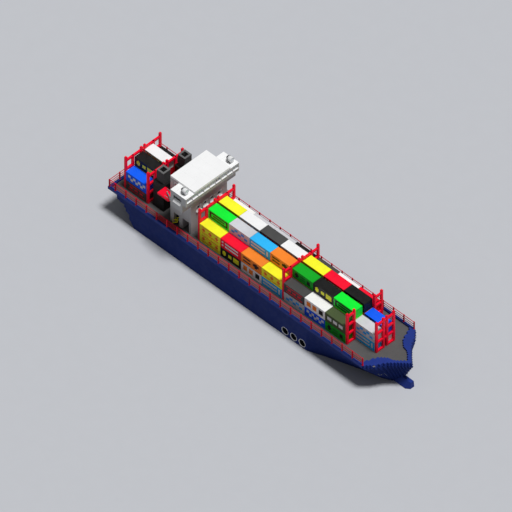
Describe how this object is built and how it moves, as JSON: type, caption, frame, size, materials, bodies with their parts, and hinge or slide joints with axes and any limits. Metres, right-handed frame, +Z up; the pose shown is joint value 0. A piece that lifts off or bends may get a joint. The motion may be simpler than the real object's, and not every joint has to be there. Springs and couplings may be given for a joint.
{
  "type": "container ship (1:10 scale model)",
  "caption": "Feeder container ship with stepped stern, flared bow and bulb, aft bridge with wings, slewing lifeboats, red lashing frames and stacked deck containers; 1:10 scale model.",
  "frame": {"origin": "middle of the bounding box, on the floor that the flat bottom stands on", "axes": "+X towards the bow, +Y to port, +Z up"},
  "size_m": [8.1, 1.55, 2.0524],
  "materials": {
    "hull_blue": "semi-gloss blue hull paint",
    "deck_grey": "matt non-slip deck paint",
    "signal_red": "gloss red paint",
    "house_white": "satin white paint",
    "casing_black": "matt black paint",
    "funnel_grey": "satin dark grey paint",
    "bare_steel": "galvanised",
    "thruster_steel": "dark machined steel",
    "screw_bronze": "cast bronze",
    "box_yellow": "satin container paint",
    "box_green": "satin container paint",
    "box_pale": "satin container paint",
    "box_blue": "satin container paint"
  },
  "bodies": {
    "ship": {"hull_middle_body": "hull_blue", "hull_fore_body": "hull_blue", "bulbous_bow": "hull_blue", "bulwark": "hull_blue", "main_deck": "deck_grey", "rail_starboard": "signal_red", "rail_port": "signal_red", "rail_stern": "signal_red", "lashing_frame_stern": "signal_red", "lashing_frame_funnel": "signal_red", "lashing_frame_house": "signal_red", "lashing_frame_middle": "signal_red", "lashing_ladder_starboard": "signal_red", "lashing_ladder_port": "signal_red", "lashing_frame_bow": "signal_red", "house_tower": "house_white", "wheelhouse": "house_white", "wheelhouse_roof": "house_white", "funnel_casing_starboard": "casing_black", "funnel_casing_port": "casing_black", "funnel_stack_starboard": "funnel_grey", "funnel_stack_port": "funnel_grey", "thruster_pod_aft": "bare_steel", "thruster_pod_middle": "bare_steel", "thruster_pod_front": "bare_steel", "boxes_stern_row_a": "box_yellow", "boxes_stern_row_b": "box_green", "boxes_stern_row_c": "box_pale", "boxes_stern_row_d": "box_blue", "boxes_midship_row_a": "box_yellow", "boxes_midship_row_b": "box_green", "boxes_midship_row_c": "box_pale", "boxes_midship_row_d": "box_blue", "boxes_forward_row_a": "box_yellow", "boxes_forward_row_b": "box_green", "boxes_forward_row_c": "box_pale", "boxes_forward_row_d": "box_blue", "boxes_bow_row_b": "box_green", "boxes_bow_row_c": "box_pale"},
    "propeller_starboard": {"propeller_starboard": "screw_bronze", "propeller_shaft_starboard": "bare_steel"},
    "rudder_starboard": {"rudder_starboard": "hull_blue"},
    "davit_starboard": {"davit_starboard": "bare_steel"},
    "lifeboat_starboard": {"lifeboat_starboard": "signal_red"},
    "searchlight_starboard": {"searchlight_starboard": "funnel_grey"},
    "thruster_rotor_aft_starboard": {"thruster_rotor_aft_starboard": "thruster_steel"},
    "thruster_rotor_middle_starboard": {"thruster_rotor_middle_starboard": "thruster_steel"},
    "thruster_rotor_front_starboard": {"thruster_rotor_front_starboard": "thruster_steel"},
    "propeller_port": {"propeller_port": "screw_bronze", "propeller_shaft_port": "bare_steel"},
    "rudder_port": {"rudder_port": "hull_blue"},
    "davit_port": {"davit_port": "bare_steel"},
    "lifeboat_port": {"lifeboat_port": "signal_red"},
    "searchlight_port": {"searchlight_port": "funnel_grey"},
    "thruster_rotor_aft_port": {"thruster_rotor_aft_port": "thruster_steel"},
    "thruster_rotor_middle_port": {"thruster_rotor_middle_port": "thruster_steel"},
    "thruster_rotor_front_port": {"thruster_rotor_front_port": "thruster_steel"}
  },
  "joints": [
    {"name": "propeller_starboard_spin", "type": "hinge", "parent": "ship", "child": "propeller_starboard", "pos_m": [-3.6, -0.32, 0.22], "axis": [1, 0, 0], "continuous": true},
    {"name": "rudder_starboard_turn", "type": "hinge", "parent": "ship", "child": "rudder_starboard", "pos_m": [-3.75, -0.32, 0.27], "axis": [0, 0, 1], "range_deg": [-35, 35]},
    {"name": "davit_starboard_slew", "type": "hinge", "parent": "ship", "child": "davit_starboard", "pos_m": [-2.25, -0.745, 1.57], "axis": [0, 0, 1], "range_deg": [0, 90]},
    {"name": "lifeboat_starboard_swivel", "type": "hinge", "parent": "davit_starboard", "child": "lifeboat_starboard", "pos_m": [-2.445, -0.65, 1.53], "axis": [0, 0, 1], "range_deg": [-90, 0]},
    {"name": "searchlight_starboard_pan", "type": "hinge", "parent": "ship", "child": "searchlight_starboard", "pos_m": [-1.93, -0.66, 1.95], "axis": [0, 0, 1], "range_deg": [-170, 170]},
    {"name": "thruster_aft_starboard_spin", "type": "hinge", "parent": "ship", "child": "thruster_rotor_aft_starboard", "pos_m": [1.11, -0.69, 0.13], "axis": [0, 1, 0], "continuous": true},
    {"name": "thruster_middle_starboard_spin", "type": "hinge", "parent": "ship", "child": "thruster_rotor_middle_starboard", "pos_m": [1.36, -0.69, 0.13], "axis": [0, 1, 0], "continuous": true},
    {"name": "thruster_front_starboard_spin", "type": "hinge", "parent": "ship", "child": "thruster_rotor_front_starboard", "pos_m": [1.61, -0.69, 0.13], "axis": [0, 1, 0], "continuous": true},
    {"name": "propeller_port_spin", "type": "hinge", "parent": "ship", "child": "propeller_port", "pos_m": [-3.6, 0.32, 0.22], "axis": [1, 0, 0], "continuous": true},
    {"name": "rudder_port_turn", "type": "hinge", "parent": "ship", "child": "rudder_port", "pos_m": [-3.75, 0.32, 0.27], "axis": [0, 0, 1], "range_deg": [-35, 35]},
    {"name": "davit_port_slew", "type": "hinge", "parent": "ship", "child": "davit_port", "pos_m": [-2.25, 0.745, 1.57], "axis": [0, 0, 1], "range_deg": [-90, 0]},
    {"name": "lifeboat_port_swivel", "type": "hinge", "parent": "davit_port", "child": "lifeboat_port", "pos_m": [-2.445, 0.65, 1.53], "axis": [0, 0, 1], "range_deg": [0, 90]},
    {"name": "searchlight_port_pan", "type": "hinge", "parent": "ship", "child": "searchlight_port", "pos_m": [-1.93, 0.66, 1.95], "axis": [0, 0, 1], "range_deg": [-170, 170]},
    {"name": "thruster_aft_port_spin", "type": "hinge", "parent": "ship", "child": "thruster_rotor_aft_port", "pos_m": [1.11, 0.69, 0.13], "axis": [0, 1, 0], "continuous": true},
    {"name": "thruster_middle_port_spin", "type": "hinge", "parent": "ship", "child": "thruster_rotor_middle_port", "pos_m": [1.36, 0.69, 0.13], "axis": [0, 1, 0], "continuous": true},
    {"name": "thruster_front_port_spin", "type": "hinge", "parent": "ship", "child": "thruster_rotor_front_port", "pos_m": [1.61, 0.69, 0.13], "axis": [0, 1, 0], "continuous": true}
  ],
  "couplings": [
    {"joint": "lifeboat_starboard_swivel", "follows": "davit_starboard_slew", "ratio": -1},
    {"joint": "lifeboat_port_swivel", "follows": "davit_port_slew", "ratio": -1},
    {"joint": "rudder_port_turn", "follows": "rudder_starboard_turn", "ratio": 1}
  ]
}
